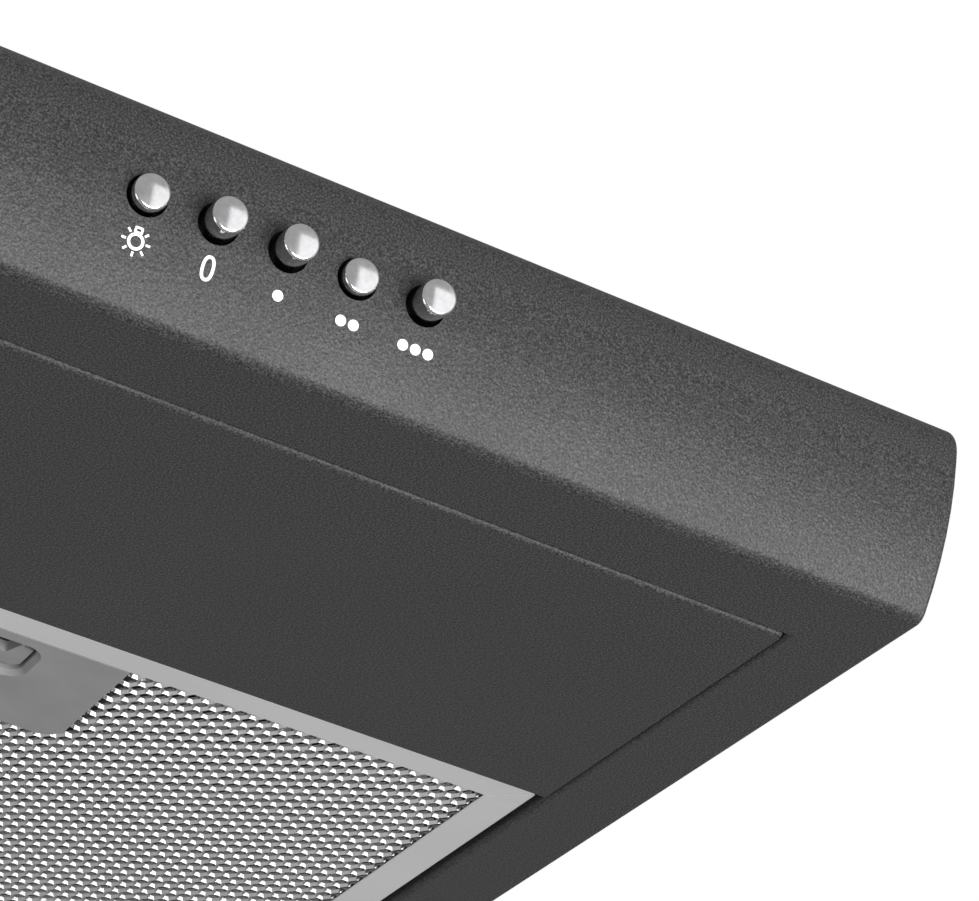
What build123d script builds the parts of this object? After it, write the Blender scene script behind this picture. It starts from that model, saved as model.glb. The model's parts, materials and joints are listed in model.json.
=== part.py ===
"""Under cabinet range hood, built from its separate pieces. Millimetres, +Z up.

+X runs to the right seen from the front, +Y towards the wall. The origin is the centre of the
four screw holes in the flat top, by which the hood hangs under its cabinet.
Places are given as x, depth behind the front of the nose, and height above the base.
"""
from build123d import *
import math
import os

# Overall size of the sheet-metal canopy
WIDTH = 750
DEPTH = 480
HEIGHT = 130
SHEET = 1.0
ORIGIN_DEPTH = 335

# Side outline of the canopy
NOSE_RADIUS = 90
NOSE_ARC_HEIGHT = 46
NOSE_TOP_HEIGHT = 56.5
SLOPE_DEPTH = 190
NOSE_TOP_FILLET = 11
NOSE_BASE_FILLET = 5
END_EDGE_FILLET = 1.2

# Opening in the underside
SIDE_FLANGE = 25
FRONT_FLANGE_DEPTH = 42.2
REAR_FLANGE_DEPTH = 462
LIP_HEIGHT = 12
PANEL_FRONT = 44.5
PANEL_REAR = 179.2
BEND_RADIUS = 2.0

# Cabinet screw holes in the top
SCREW_SPACING_X = 640
SCREW_SPACING_Y = 220
SCREW_HOLE_RADIUS = 3.0

# Row of push buttons on the nose
BUTTON_PITCH = 20
BUTTON_HEIGHT = 29.5
BUTTON_ROW_X = 169.1
BUTTON_RADIUS = 5.0
BUTTON_HOLE_RADIUS = 5.75
BUTTON_NAMES = ["light", "off", "low", "medium", "high"]
BUTTON_STANDOUT = {"light": 4.1, "off": 8.6, "low": 9.1, "medium": 3.5, "high": 9.0}
CAP_LENGTH = 19.2
CAP_BORE = 8.0
CAP_EDGE = 0.9
PLUNGER_RADIUS = 3.0
STEM_LENGTH = 26.0
SPRING_TURNS = 5
SPRING_WIRE = 0.35
HOUSING_FRONT = 14.0
HOUSING_FLOOR = 25.0
HOUSING_REAR = 28.0
SWITCH_SCREW_SHIFTS = (-30, 30)

# Lamp in the middle of the front panel
LAMP_LENGTH = 180
LAMP_WIDTH = 60
LAMP_DEPTH = 112

# Grease filters
FILTER_WIDTH = 347
FILTER_FRONT = 181
FILTER_REAR = 459
FILTER_BOTTOM = 1.0
FILTER_TOP = 10.0
FILTER_GAP = 0.5
FILTER_RAIL = 12
RAIL_SHEET = 0.8
RAIL_EDGE = 0.6
MESH_SHEET = 0.8
MESH_INSET = 1.4
HOOK_SHIFTS = (-110, 110)
FILTER_CENTRE_X = FILTER_GAP + FILTER_WIDTH / 2
PIVOT_DEPTH = 461.2
PIVOT_HEIGHT = 1.6

# Filter latch
LATCH_WIDTH = 81
LATCH_REAR = 250
LATCH_LOW = 1.05
TRAY_WIDTH = 31.7
TRAY_FRONT = 197.8
TRAY_REAR = 220.6
TRAY_CORNER = 6.5
TRAY_TOP = 8.0
TRAY_SLOPE = 1.6
SLIDE_HALF = 10
SLIDE_WIDE_HALF = 13.2
SLIDE_TIP = 177.7
SLIDE_SHOULDER = 203.5
SLIDE_END = 216.5
SLIDE_LIMITS = (3.1, 4.3)
SLOT_HALF = 10.8
SLOT_LIMITS = (2.6, 4.8)
FINGER_HOLE_DEPTH = 205.3
FINGER_HOLE_RIM = 1.0
FINGER_RIM_TOP = 6.6
LATCH_SPRING_HEIGHT = 5.7

# Blower: flat snail with its wheel axis vertical
WHEEL_X = -110
WHEEL_DEPTH = 333
WHEEL_RADIUS = 75
BLADE_INNER_RADIUS = 62
BLADE_COUNT = 36
SCROLL_RADIUS = 86
SCROLL_STEP = 14
SCROLL_BOTTOM = 50
SCROLL_TOP = 129
SCROLL_WALL = 1.2
SCROLL_END_X = 140
TONGUE_DEPTH = 340
INLET_RADIUS = 60
MOTOR_RADIUS = 42
MOTOR_BOTTOM = 74
MOTOR_TOP = 122
SHAFT_RADIUS = 4.0
HUB_RADIUS = 47.2
SHAFT_FIT = 0.05

# Duct collar on the top
COLLAR_X = 70
COLLAR_DEPTH = 400
COLLAR_RADIUS = 60
COLLAR_HEIGHT = 45
COLLAR_FLANGE_RADIUS = 72
SPINDLE_RADIUS = 1.5
SPINDLE_RISE = 20

# Fasteners
SHANK_RADIUS = 1.9
CLEAR_RADIUS = 2.0
SMALL_SHANK_RADIUS = 1.2
HEAD_RADIUS = 3.6
HEAD_HEIGHT = 2.2

# Supply inlet and leads inside
LEAD_RADIUS = 2.5
LEAD_ROUTES = {
    "motor_lead": [
        (248, 425, 112), (212, 402, 117), (150, 325, 122.5), (50, 318, 123), (-52.4, 331, 123),
    ],
    "lamp_lead": [
        (248, 440, 92), (228, 425, 88), (224, 330, 62), (214, 220, 38), (202, 165, 18), (201, 129, 14),
    ],
    "switch_lead": [
        (248, 410, 95), (222, 392, 95), (182, 310, 86), (171, 200, 76), (169, 100, 62), (169, 52, 46),
    ],
}

# Junction box with its supply inlet and the holes for the leads
BOX_X = (250, 355)
BOX_DEPTH = (396, 470)
BOX_BOTTOM = 80
COVER_SCREWS = [(256.5, 402.5), (348.5, 463.5)]
LEAD_HOLES = [(425, 112), (440, 92), (410, 95)]
INLET_X = 305
INLET_HEIGHT = 97
GROMMET_NECK = 10.9
GROMMET_BORE = 7.0

HALF_WIDTH = WIDTH / 2
CEILING = HEIGHT - SHEET


def y_at(depth):
    """Y of a depth behind the front of the nose."""
    return depth - ORIGIN_DEPTH


def z_at(height):
    """Z of a height above the base."""
    return height - HEIGHT


def point(x, depth, height):
    return (x, y_at(depth), z_at(height))


def level(height, x=0, depth=ORIGIN_DEPTH):
    """Horizontal sketch plane at a height, with its origin at x and depth."""
    return Plane(origin=point(x, depth, height), x_dir=(1, 0, 0), z_dir=(0, 0, 1))


def block(x_limits, depth_limits, height_limits, mode=Mode.ADD):
    """Box between two limits each way, added to the part being built."""
    limits = (x_limits, depth_limits, height_limits)
    size = [high - low for low, high in limits]
    middle = [(low + high) / 2 for low, high in limits]
    with Locations(point(*middle)):
        Box(*size, mode=mode)


def tube_between(plane, radius, length, mode=Mode.ADD):
    """Cylinder that starts on a plane and runs along its normal."""
    with Locations(plane):
        Cylinder(radius, length, align=(Align.CENTER, Align.CENTER, Align.MIN), mode=mode)


def hand_in(name, part):
    part.label = name
    export_step(part, f"parts/{name}.step")


# ---------------------------------------------------------------- canopy

def side_outline():
    """Closed side outline of the hood: rounded nose, sloped top front, flat top and back."""
    base_angle = math.degrees(math.asin(NOSE_ARC_HEIGHT / NOSE_RADIUS))
    centre = (y_at(NOSE_RADIUS), z_at(NOSE_ARC_HEIGHT))
    with BuildLine() as outline:
        nose = CenterArc(centre, NOSE_RADIUS, 180, base_angle)
        Polyline(
            nose @ 0,
            (y_at(0), z_at(NOSE_TOP_HEIGHT)),
            (y_at(SLOPE_DEPTH), z_at(HEIGHT)),
            (y_at(DEPTH), z_at(HEIGHT)),
            (y_at(DEPTH), z_at(0)),
            nose @ 1,
        )
    make_face(outline.line.edges())
    fillet(vertices().group_by(Axis.X)[0].sort_by(Axis.Y)[-1], NOSE_TOP_FILLET)
    fillet(vertices().group_by(Axis.Y)[0].sort_by(Axis.X)[0], NOSE_BASE_FILLET)


def lip_profile(side):
    """Section of a side flange's bend and upturned lip."""
    lip_x = HALF_WIDTH - SIDE_FLANGE
    centre_x = lip_x + BEND_RADIUS
    inner_radius = BEND_RADIUS - SHEET
    outer_mid = BEND_RADIUS * math.sqrt(0.5)
    inner_mid = inner_radius * math.sqrt(0.5)
    with BuildLine() as profile:
        Polyline((side * (lip_x + SHEET), BEND_RADIUS), (side * (lip_x + SHEET), LIP_HEIGHT),
                 (side * lip_x, LIP_HEIGHT), (side * lip_x, BEND_RADIUS))
        ThreePointArc((side * lip_x, BEND_RADIUS),
                      (side * (centre_x - outer_mid), BEND_RADIUS - outer_mid), (side * centre_x, 0))
        Line((side * centre_x, 0), (side * centre_x, SHEET))
        ThreePointArc((side * centre_x, SHEET),
                      (side * (centre_x - inner_mid), BEND_RADIUS - inner_mid),
                      (side * (lip_x + SHEET), BEND_RADIUS))
    make_face(profile.line.edges())


def nose_plane(x, height, inset=0.0):
    """Plane on the nose face at a height, its normal pointing out of the hood."""
    tilt = math.asin((NOSE_ARC_HEIGHT - height) / NOSE_RADIUS)
    reach = NOSE_RADIUS - inset
    depth = NOSE_RADIUS - reach * math.cos(tilt)
    centre_height = NOSE_ARC_HEIGHT - reach * math.sin(tilt)
    normal = (0, -math.cos(tilt), -math.sin(tilt))
    return Plane(origin=point(x, depth, centre_height), x_dir=(1, 0, 0), z_dir=normal)


def button_x(index):
    return BUTTON_ROW_X + (index - 2) * BUTTON_PITCH


def back_screw_points():
    return [(x, h) for x in (-360, -120, 120, 360) for h in (11, 119)]


def scroll_screw_points():
    """Screws up through the ears of the scroll housing into the hood's top."""
    return [(-219, 347), (-96, 469), (-110, 238), (149, 400), (100, 331)]


def build_canopy_shell():
    with BuildPart() as canopy_shell:
        with BuildSketch(Plane.YZ):
            side_outline()
        extrude(amount=HALF_WIDTH, both=True)
        fillet(canopy_shell.faces().filter_by(Axis.X).edges(), END_EDGE_FILLET)
        with BuildSketch(Plane.YZ):
            side_outline()
            offset(amount=-SHEET)
        extrude(amount=HALF_WIDTH - SHEET, both=True, mode=Mode.SUBTRACT)
        inner_x = HALF_WIDTH - SHEET
        # open back with an inward flange set in from the rear edge
        block((-inner_x, inner_x), (DEPTH - 2, DEPTH + 5), (SHEET, CEILING), Mode.SUBTRACT)
        block((-inner_x, inner_x), (DEPTH - 4, DEPTH - 3), (SHEET, CEILING))
        block((-350, 350), (DEPTH - 10, DEPTH), (20, 112), Mode.SUBTRACT)
        # underside opening with upturned lips
        lip_x = HALF_WIDTH - SIDE_FLANGE
        opening = (FRONT_FLANGE_DEPTH, REAR_FLANGE_DEPTH)
        cut_x = lip_x + BEND_RADIUS
        block((-cut_x, cut_x), opening, (-SHEET, 2 * SHEET), Mode.SUBTRACT)
        block((-cut_x, cut_x), (FRONT_FLANGE_DEPTH - SHEET, FRONT_FLANGE_DEPTH), (0, LIP_HEIGHT))
        for side in (-1, 1):
            rear_end = Plane(origin=point(0, REAR_FLANGE_DEPTH, 0), x_dir=(1, 0, 0), z_dir=(0, -1, 0))
            with BuildSketch(rear_end):
                lip_profile(side)
            extrude(amount=REAR_FLANGE_DEPTH - FRONT_FLANGE_DEPTH)
        # button holes
        for index in range(len(BUTTON_NAMES)):
            plane = nose_plane(button_x(index), BUTTON_HEIGHT, 5)
            tube_between(plane, BUTTON_HOLE_RADIUS, 10, Mode.SUBTRACT)
        # duct outlet and cabinet screw holes in the top
        tube_between(level(HEIGHT - 3, COLLAR_X, COLLAR_DEPTH), COLLAR_RADIUS - 2, 6, Mode.SUBTRACT)
        with Locations(Plane.XY.offset(-3)):
            with GridLocations(SCREW_SPACING_X, SCREW_SPACING_Y, 2, 2):
                Cylinder(SCREW_HOLE_RADIUS, 12, mode=Mode.SUBTRACT)
        # screw clearance holes
        for angle in range(45, 360, 90):
            collar = collar_screw_plane(angle)
            tube_between(collar.offset(-5), CLEAR_RADIUS, 10, Mode.SUBTRACT)
        for x, depth in scroll_screw_points():
            tube_between(level(HEIGHT - 3, x, depth), CLEAR_RADIUS, 6, Mode.SUBTRACT)
        for plane in panel_screw_planes() + back_screw_planes():
            tube_between(plane.offset(-6), CLEAR_RADIUS, 8, Mode.SUBTRACT)
    hand_in("canopy_shell", canopy_shell.part)


def back_screw_planes():
    """Seats of the back panel's screws, normals to the rear."""
    return [
        Plane(origin=point(x, DEPTH - 2, height), x_dir=(-1, 0, 0), z_dir=(0, 1, 0))
        for x, height in back_screw_points()
    ]


def panel_screw_planes():
    """Seats of the screws through the side lips into the front panel's end flanges."""
    seat_x = HALF_WIDTH - SIDE_FLANGE + SHEET
    return [
        Plane(origin=point(side * seat_x, depth, 8), x_dir=(0, 1, 0), z_dir=(side, 0, 0))
        for side in (-1, 1)
        for depth in (70, 155)
    ]


def collar_screw_plane(angle):
    """Seat of a collar screw on the collar's flange, normal up."""
    seat = (COLLAR_RADIUS + COLLAR_FLANGE_RADIUS) / 2
    x = COLLAR_X + seat * math.cos(math.radians(angle))
    depth = COLLAR_DEPTH + seat * math.sin(math.radians(angle))
    return level(HEIGHT + SHEET, x, depth)


def build_back_panel():
    with BuildPart() as back_panel:
        inner_x = HALF_WIDTH - SHEET - 0.3
        block((-inner_x, inner_x), (DEPTH - 3, DEPTH - 2), (SHEET + 0.3, CEILING - 0.3))
        # pressed stiffening beads
        for x in (-240, 0):
            block((x - 80, x + 80), (DEPTH - 4.5, DEPTH - 2), (60, 68))
            block((x - 79, x + 79), (DEPTH - 3.5, DEPTH - 1), (61, 67), Mode.SUBTRACT)
        for plane in back_screw_planes():
            tube_between(plane.offset(-4), CLEAR_RADIUS, 6, Mode.SUBTRACT)
        inlet = Plane(origin=point(INLET_X, DEPTH - 10, INLET_HEIGHT), x_dir=(-1, 0, 0), z_dir=(0, 1, 0))
        tube_between(inlet, GROMMET_NECK, 12, Mode.SUBTRACT)
    hand_in("back_panel", back_panel.part)


# ---------------------------------------------------------------- front panel and lamp

PANEL_HALF = HALF_WIDTH - SIDE_FLANGE - 0.5


def build_lamp_panel():
    """Folded panel between the nose and the filters, with the lamp's window in it."""
    with BuildPart() as lamp_panel:
        block((-PANEL_HALF, PANEL_HALF), (PANEL_FRONT, PANEL_REAR), (0, LIP_HEIGHT))
        front = lamp_panel.edges().filter_by(Axis.X).group_by(Axis.Z)[0].sort_by(Axis.Y)[0]
        fillet([front], BEND_RADIUS)
        inner = (PANEL_FRONT + SHEET, PANEL_REAR - SHEET)
        block((-PANEL_HALF + SHEET, PANEL_HALF - SHEET), inner, (SHEET, 20), Mode.SUBTRACT)
        with BuildSketch(level(-1, 0, LAMP_DEPTH)):
            RectangleRounded(LAMP_LENGTH, LAMP_WIDTH, 8)
        extrude(amount=3, mode=Mode.SUBTRACT)
        for side in (-1, 1):
            centre = side * FILTER_CENTRE_X
            slot = (centre - 12, centre + 12)
            block(slot, (PANEL_REAR - 5, PANEL_REAR + 5), (2.4, 5.0), Mode.SUBTRACT)
        for plane in panel_screw_planes():
            tube_between(plane.offset(-8), CLEAR_RADIUS, 8, Mode.SUBTRACT)
    hand_in("lamp_panel", lamp_panel.part)


def build_lamp_lens():
    """Frosted diffuser: a flange above the panel and a pane filling its window."""
    with BuildPart() as lamp_lens:
        with BuildSketch(level(SHEET, 0, LAMP_DEPTH)):
            RectangleRounded(LAMP_LENGTH + 14, LAMP_WIDTH + 14, 10)
        extrude(amount=1.5)
        with BuildSketch(level(0.2, 0, LAMP_DEPTH)):
            RectangleRounded(LAMP_LENGTH - 0.6, LAMP_WIDTH - 0.6, 7.7)
        extrude(amount=1.5)
        for x in (-78, 78):
            for depth in (LAMP_DEPTH - 26, LAMP_DEPTH + 26):
                tube_between(level(2, x, depth), 3, 12)
    hand_in("lamp_lens", lamp_lens.part)


def build_led_board():
    with BuildPart() as led_board:
        with BuildSketch(level(14, 0, LAMP_DEPTH)):
            RectangleRounded(LAMP_LENGTH - 10, LAMP_WIDTH - 4, 3)
        extrude(amount=1.6)
        with BuildSketch(level(13, 0, LAMP_DEPTH)):
            with GridLocations(20, 22, 7, 2):
                Rectangle(3.5, 2.8)
        extrude(amount=1.2)
    hand_in("led_board", led_board.part)


def build_led_driver():
    with BuildPart() as led_driver:
        block((150, 240), (95, 129), (SHEET, 22))
        fillet(led_driver.edges().filter_by(Axis.Z), 3)
        fillet(led_driver.faces().sort_by(Axis.Z)[-1].edges(), 1.5)
    hand_in("led_driver", led_driver.part)


# ---------------------------------------------------------------- switches

def build_switch_housing():
    """Row of five push switches in one moulded block behind the nose."""
    length = 5 * BUTTON_PITCH + 6
    with BuildPart() as switch_housing:
        front = nose_plane(BUTTON_ROW_X, BUTTON_HEIGHT, HOUSING_REAR)
        with BuildSketch(front):
            RectangleRounded(length, 16, 2)
        extrude(amount=HOUSING_REAR - HOUSING_FRONT)
        for x in SWITCH_SCREW_SHIFTS:
            pilot = nose_plane(BUTTON_ROW_X + x, BUTTON_HEIGHT, HOUSING_REAR)
            tube_between(pilot.offset(-1), SMALL_SHANK_RADIUS, 8, Mode.SUBTRACT)
        for index in range(len(BUTTON_NAMES)):
            rear = nose_plane(button_x(index), BUTTON_HEIGHT, HOUSING_REAR + 1)
            tube_between(rear, PLUNGER_RADIUS + SHAFT_FIT, 20, Mode.SUBTRACT)
            floor = nose_plane(button_x(index), BUTTON_HEIGHT, HOUSING_FLOOR)
            tube_between(floor, BUTTON_RADIUS + 0.6, 20, Mode.SUBTRACT)
        # solder tags above the row, one pair to a switch
        for index in range(len(BUTTON_NAMES)):
            top = nose_plane(button_x(index), BUTTON_HEIGHT, HOUSING_REAR - 4)
            for shift in (-4, 4):
                with Locations(top * Pos(shift, 9.5, 0)):
                    Box(3, 4, 0.8)
    hand_in("switch_housing", switch_housing.part)


def build_switch_bracket():
    """Sheet bracket that holds the switch block to the inside of the nose."""
    half = 5 * BUTTON_PITCH / 2 + 5
    rear = nose_plane(BUTTON_ROW_X, BUTTON_HEIGHT, HOUSING_REAR + SHEET)
    with BuildPart() as switch_bracket:
        with Locations(rear):
            Box(2 * half, 16, SHEET, align=(Align.CENTER, Align.CENTER, Align.MIN))
            with Locations((-half + 0.5, 0, 0), (half - 0.5, 0, 0)):
                Box(SHEET, 16, HOUSING_REAR - 0.5, align=(Align.CENTER, Align.CENTER, Align.MIN))
            with Locations((-half - 4, 0, HOUSING_REAR - 1.5), (half + 4, 0, HOUSING_REAR - 1.5)):
                Box(10, 16, SHEET, align=(Align.CENTER, Align.CENTER, Align.MIN))
            with GridLocations(BUTTON_PITCH, 1, 5, 1):
                Cylinder(PLUNGER_RADIUS + 0.6, 10, mode=Mode.SUBTRACT)
            with Locations(*[(x, 0, 0) for x in SWITCH_SCREW_SHIFTS]):
                Cylinder(SMALL_SHANK_RADIUS, 10, mode=Mode.SUBTRACT)
    hand_in("switch_bracket", switch_bracket.part)



def build_spring(name, base, length, radius, wire, turns):
    """Round-wire compression spring standing on a plane."""
    rise = length - 2 * wire
    with BuildPart() as spring:
        with BuildLine() as path:
            Helix(rise / turns, rise, radius, center=base.offset(wire).origin, direction=base.z_dir)
        with BuildSketch(Plane(origin=path.line @ 0, z_dir=path.line % 0)):
            Circle(wire)
        sweep(path=path.line, is_frenet=True)
    hand_in(name, spring.part)


def build_button(index, name):
    """Cap, plunger and spring of one push button."""
    x = button_x(index)
    cap_rear = CAP_LENGTH - BUTTON_STANDOUT[name]
    rear = nose_plane(x, BUTTON_HEIGHT, cap_rear)
    with BuildPart() as cap:
        tube_between(rear, BUTTON_RADIUS, CAP_LENGTH)
        fillet(cap.faces().sort_by(Axis.Y)[0].edges(), CAP_EDGE)
        tube_between(rear, PLUNGER_RADIUS + 0.02, CAP_BORE, Mode.SUBTRACT)
    hand_in(f"{name}_button_cap", cap.part)
    with BuildPart() as plunger:
        stem_rear = cap_rear - CAP_BORE + STEM_LENGTH
        tube_between(nose_plane(x, BUTTON_HEIGHT, stem_rear), PLUNGER_RADIUS, STEM_LENGTH)
        chamfer(plunger.faces().sort_by(Axis.Y)[-1].edges(), 0.5)
    hand_in(f"{name}_button_plunger", plunger.part)
    floor = nose_plane(x, BUTTON_HEIGHT, HOUSING_FLOOR - 0.1)
    length = HOUSING_FLOOR - cap_rear - 0.2
    build_spring(f"{name}_button_spring", floor, length, 3.9, SPRING_WIRE, SPRING_TURNS)


# ---------------------------------------------------------------- grease filters

def mirrored(side, low, high):
    """X limits given on the right-hand filter, taken to the side asked for."""
    return tuple(sorted((side * low, side * high)))


def filter_x(side, inset):
    return mirrored(side, FILTER_GAP + inset, FILTER_GAP + FILTER_WIDTH - inset)


def filter_depth(inset):
    return (FILTER_FRONT + inset, FILTER_REAR - inset)


def build_filter_frame(side, name):
    """Channel frame of a grease filter with its two rear hooks."""
    centre = side * FILTER_CENTRE_X
    with BuildPart() as frame:
        block(filter_x(side, 0), filter_depth(0), (FILTER_BOTTOM, FILTER_TOP))
        fillet(frame.edges().filter_by(Axis.Z), 2)
        fillet(frame.faces().sort_by(Axis.Z)[0].edges(), 0.6)
        channel = (FILTER_BOTTOM + RAIL_SHEET, FILTER_TOP - RAIL_SHEET)
        block(filter_x(side, SHEET), filter_depth(SHEET), channel, Mode.SUBTRACT)
        through = (FILTER_BOTTOM - 1, FILTER_TOP + 1)
        block(filter_x(side, FILTER_RAIL), filter_depth(FILTER_RAIL), through, Mode.SUBTRACT)
        chamfer(frame.faces().sort_by(Axis.Z)[0].inner_wires()[0].edges(), RAIL_EDGE)
        slot = (centre - SLOT_HALF, centre + SLOT_HALF)
        block(slot, (FILTER_FRONT - 1, FILTER_FRONT + 2), SLOT_LIMITS, Mode.SUBTRACT)
        for shift in HOOK_SHIFTS:
            hook = (centre + shift - 12, centre + shift + 12)
            block(hook, (FILTER_REAR - SHEET, FILTER_REAR + 10), (1.4, 2.4))
        # mitre lines across the corners of the visible face
        for x_edge, x_way in zip(filter_x(side, FILTER_RAIL / 2), (1, -1)):
            for depth_edge, depth_way in zip(filter_depth(FILTER_RAIL / 2), (1, -1)):
                seam = level(FILTER_BOTTOM, x_edge, depth_edge)
                with Locations(seam * Rot(0, 0, 45 * x_way * depth_way)):
                    Box(1.5 * FILTER_RAIL, 0.25, 0.5, mode=Mode.SUBTRACT)
    hand_in(f"{name}_filter_frame", frame.part)


def build_filter_meshes(side, name):
    """Lower and upper sheets of expanded mesh, as plain sheets of their overall thickness."""
    centre = side * FILTER_CENTRE_X
    with BuildPart() as lower:
        base = FILTER_BOTTOM + RAIL_SHEET + 0.1
        block(filter_x(side, MESH_INSET), filter_depth(MESH_INSET), (base, base + MESH_SHEET))
        opening = (centre - TRAY_WIDTH / 2 - 2, centre + TRAY_WIDTH / 2 + 2)
        block(opening, (TRAY_FRONT - 2, TRAY_REAR + 2), (0, 5), Mode.SUBTRACT)
    hand_in(f"{name}_filter_lower_mesh", lower.part)
    with BuildPart() as upper:
        top = FILTER_TOP - RAIL_SHEET - 0.1
        block(filter_x(side, MESH_INSET), filter_depth(MESH_INSET), (top - MESH_SHEET, top))
    hand_in(f"{name}_filter_upper_mesh", upper.part)


def tray_section(outset):
    """Rounded section of the latch tray, its sides moved out by outset."""
    length = TRAY_REAR - TRAY_FRONT
    RectangleRounded(TRAY_WIDTH + 2 * outset, length + 2 * outset, TRAY_CORNER + outset)


def build_latch(side, name):
    """Latch plate with its pressed tray, the slide in it and the slide's spring."""
    centre = side * FILTER_CENTRE_X
    middle = (TRAY_FRONT + TRAY_REAR) / 2
    with BuildPart() as plate:
        half = LATCH_WIDTH / 2
        front = FILTER_FRONT + FILTER_RAIL + 0.1
        block((centre - half, centre + half), (front, LATCH_REAR), (LATCH_LOW, LATCH_LOW + RAIL_SHEET))
        fillet(plate.edges().filter_by(Axis.Z).group_by(Axis.Y)[-1], 8)
        # the tray as a solid, then its hollow: a sloping rim below straight walls
        solid_then_hollow = ((RAIL_SHEET, TRAY_TOP, Mode.ADD), (0, TRAY_TOP - RAIL_SHEET, Mode.SUBTRACT))
        for wall, top, mode in solid_then_hollow:
            rim_top = level(LATCH_LOW + TRAY_SLOPE, centre, middle)
            with BuildSketch(level(LATCH_LOW, centre, middle)):
                tray_section(wall)
            with BuildSketch(rim_top):
                tray_section(wall - TRAY_SLOPE)
            loft(mode=mode)
            with BuildSketch(rim_top):
                tray_section(wall - TRAY_SLOPE)
            extrude(amount=top - LATCH_LOW - TRAY_SLOPE, mode=mode)
        slot = (centre - SLOT_HALF, centre + SLOT_HALF)
        block(slot, (TRAY_FRONT - 3, middle), SLOT_LIMITS, Mode.SUBTRACT)
    hand_in(f"{name}_latch_plate", plate.part)
    with BuildPart() as slide:
        block((centre - SLIDE_HALF, centre + SLIDE_HALF), (SLIDE_TIP, SLIDE_END), SLIDE_LIMITS)
        wide = (centre - SLIDE_WIDE_HALF, centre + SLIDE_WIDE_HALF)
        block(wide, (SLIDE_SHOULDER, SLIDE_END), SLIDE_LIMITS)
        fillet(slide.edges().filter_by(Axis.Z).group_by(Axis.Y)[0], 2)
        fillet(slide.edges().filter_by(Axis.Z).group_by(Axis.Y)[-1], 3.5)
        # turned-up rim of the finger hole, then the hole through it
        with BuildSketch(level(SLIDE_LIMITS[0] + 0.2, centre, FINGER_HOLE_DEPTH)):
            finger_hole(FINGER_HOLE_RIM)
        extrude(amount=FINGER_RIM_TOP - SLIDE_LIMITS[0] - 0.2)
        with BuildSketch(level(SLIDE_LIMITS[0] - 1, centre, FINGER_HOLE_DEPTH)):
            finger_hole(0)
        extrude(amount=FINGER_RIM_TOP, mode=Mode.SUBTRACT)
    hand_in(f"{name}_latch_slide", slide.part)
    rim_rear = point(centre, FINGER_HOLE_DEPTH + 4.3 + FINGER_HOLE_RIM + 0.1, LATCH_SPRING_HEIGHT)
    seat = Plane(origin=rim_rear, x_dir=(1, 0, 0), z_dir=(0, 1, 0))
    build_spring(f"{name}_latch_spring", seat, 8.0, 1.1, 0.22, 6)


def finger_hole(outset):
    """Finger hole of the slide, narrowing to the rear."""
    with BuildLine() as outline:
        Polyline((-9.3, -4.3), (9.3, -4.3), (6.7, 4.3), (-6.7, 4.3), close=True)
    make_face(outline.line.edges())
    fillet(vertices(), 1.2)
    if outset:
        offset(amount=outset)


# ---------------------------------------------------------------- blower

def snail_outline(outset):
    """Outline of the blower's passage: three quarter arcs that widen, then a straight channel."""
    wheel_y = y_at(WHEEL_DEPTH)
    step = SCROLL_STEP
    radii = [SCROLL_RADIUS, SCROLL_RADIUS + step, SCROLL_RADIUS + 2 * step]
    rear_y = wheel_y + step + radii[2]
    with BuildLine() as outline:
        first = CenterArc((WHEEL_X, wheel_y), radii[0], 0, -90)
        CenterArc((WHEEL_X, wheel_y + step), radii[1], -90, -90)
        third = CenterArc((WHEEL_X + step, wheel_y + step), radii[2], 180, -90)
        Polyline(
            third @ 1,
            (SCROLL_END_X, rear_y),
            (SCROLL_END_X, y_at(TONGUE_DEPTH)),
            (WHEEL_X + SCROLL_RADIUS, y_at(TONGUE_DEPTH)),
            first @ 0,
        )
    make_face(outline.line.edges())
    if outset:
        offset(amount=outset)


def wheel_level(height):
    return level(height, WHEEL_X, WHEEL_DEPTH)


def cover_screw_points():
    return [(-215.6, 347), (-96, 466.6), (-110, 241.4), (145.6, 400), (60, 334.4), (60, 466.6)]


def motor_screw_planes():
    """Seats of the motor plate's screws on its lower face, normals down."""
    planes = []
    for angle in range(45, 360, 90):
        x = WHEEL_X + 50 * math.cos(math.radians(angle))
        depth = WHEEL_DEPTH + 50 * math.sin(math.radians(angle))
        planes.append(facing_down(x, depth, MOTOR_TOP))
    return planes


def facing_down(x, depth, height):
    return Plane(origin=point(x, depth, height), x_dir=(1, 0, 0), z_dir=(0, 0, -1))


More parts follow.
